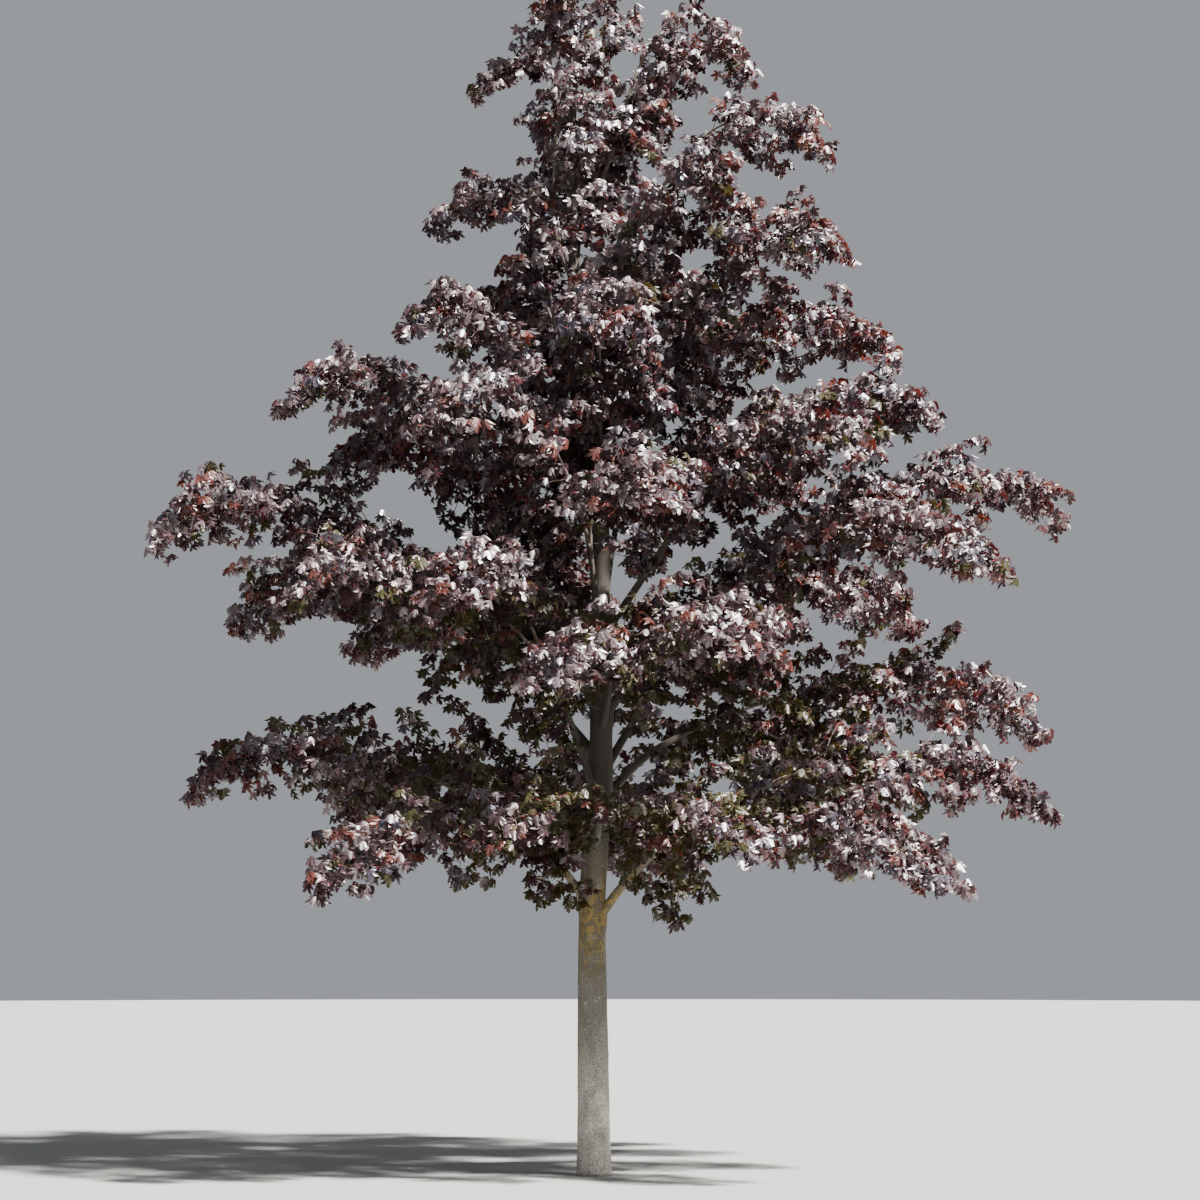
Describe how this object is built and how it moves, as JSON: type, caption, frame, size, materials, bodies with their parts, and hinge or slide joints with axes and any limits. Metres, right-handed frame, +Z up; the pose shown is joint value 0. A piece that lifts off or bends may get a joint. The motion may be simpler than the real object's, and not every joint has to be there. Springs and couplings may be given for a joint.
{
  "type": "purple-leaved norway maple tree",
  "caption": "Young purple-leaved Norway maple: one straight clear trunk with a root flare, main boughs and an open, layered, broadly conical crown of drooping foliage masses.",
  "frame": {"origin": "middle of the trunk's flat cut at ground level", "axes": "+Z straight up to the tip of the crown, -Y towards the side that the picture shows, +X to that view's right"},
  "size_m": [6.4824, 5.0546, 8.72],
  "materials": {
    "bark": "rough",
    "young_bark": "rough",
    "foliage": "satin"
  },
  "bodies": {
    "root": {"bough_high_back": "young_bark", "bough_high_front": "young_bark", "bough_high_left": "young_bark", "bough_high_right": "young_bark", "bough_low_back": "young_bark", "bough_low_front": "young_bark", "bough_low_left": "young_bark", "bough_low_right": "young_bark", "bough_low_right_front": "young_bark", "bough_mid_back_left": "young_bark", "bough_mid_back_right": "young_bark", "bough_mid_front": "young_bark", "bough_mid_front_left": "young_bark", "bough_mid_left": "young_bark", "bough_mid_right": "young_bark", "bough_top_right": "young_bark", "mass_crest_back": "foliage", "mass_crest_front": "foliage", "mass_crest_left": "foliage", "mass_crest_right": "foliage", "mass_crest_right_upper": "foliage", "mass_high_back": "foliage", "mass_high_back_right": "foliage", "mass_high_front": "foliage", "mass_high_front_left": "foliage", "mass_high_left": "foliage", "mass_high_rear_left": "foliage", "mass_high_right": "foliage", "mass_high_right_front": "foliage", "mass_leader": "foliage", "mass_low_back": "foliage", "mass_low_back_left": "foliage", "mass_low_front_left": "foliage", "mass_low_front_right": "foliage", "mass_low_left": "foliage", "mass_low_left_front": "foliage", "mass_low_rear_right": "foliage", "mass_low_right": "foliage", "mass_low_right_front": "foliage", "mass_low_right_upper": "foliage", "mass_mid_back": "foliage", "mass_mid_back_left": "foliage", "mass_mid_back_right": "foliage", "mass_mid_front": "foliage", "mass_mid_front_left": "foliage", "mass_mid_front_right": "foliage", "mass_mid_left": "foliage", "mass_mid_left_front": "foliage", "mass_mid_rear_left": "foliage", "mass_mid_rear_right": "foliage", "mass_mid_right": "foliage", "mass_mid_right_front": "foliage", "mass_top_back": "foliage", "mass_top_back_right": "foliage", "mass_top_front": "foliage", "mass_top_front_left": "foliage", "mass_top_left": "foliage", "mass_top_right": "foliage", "mass_top_right_front": "foliage", "trunk": "bark"}
  },
  "joints": []
}
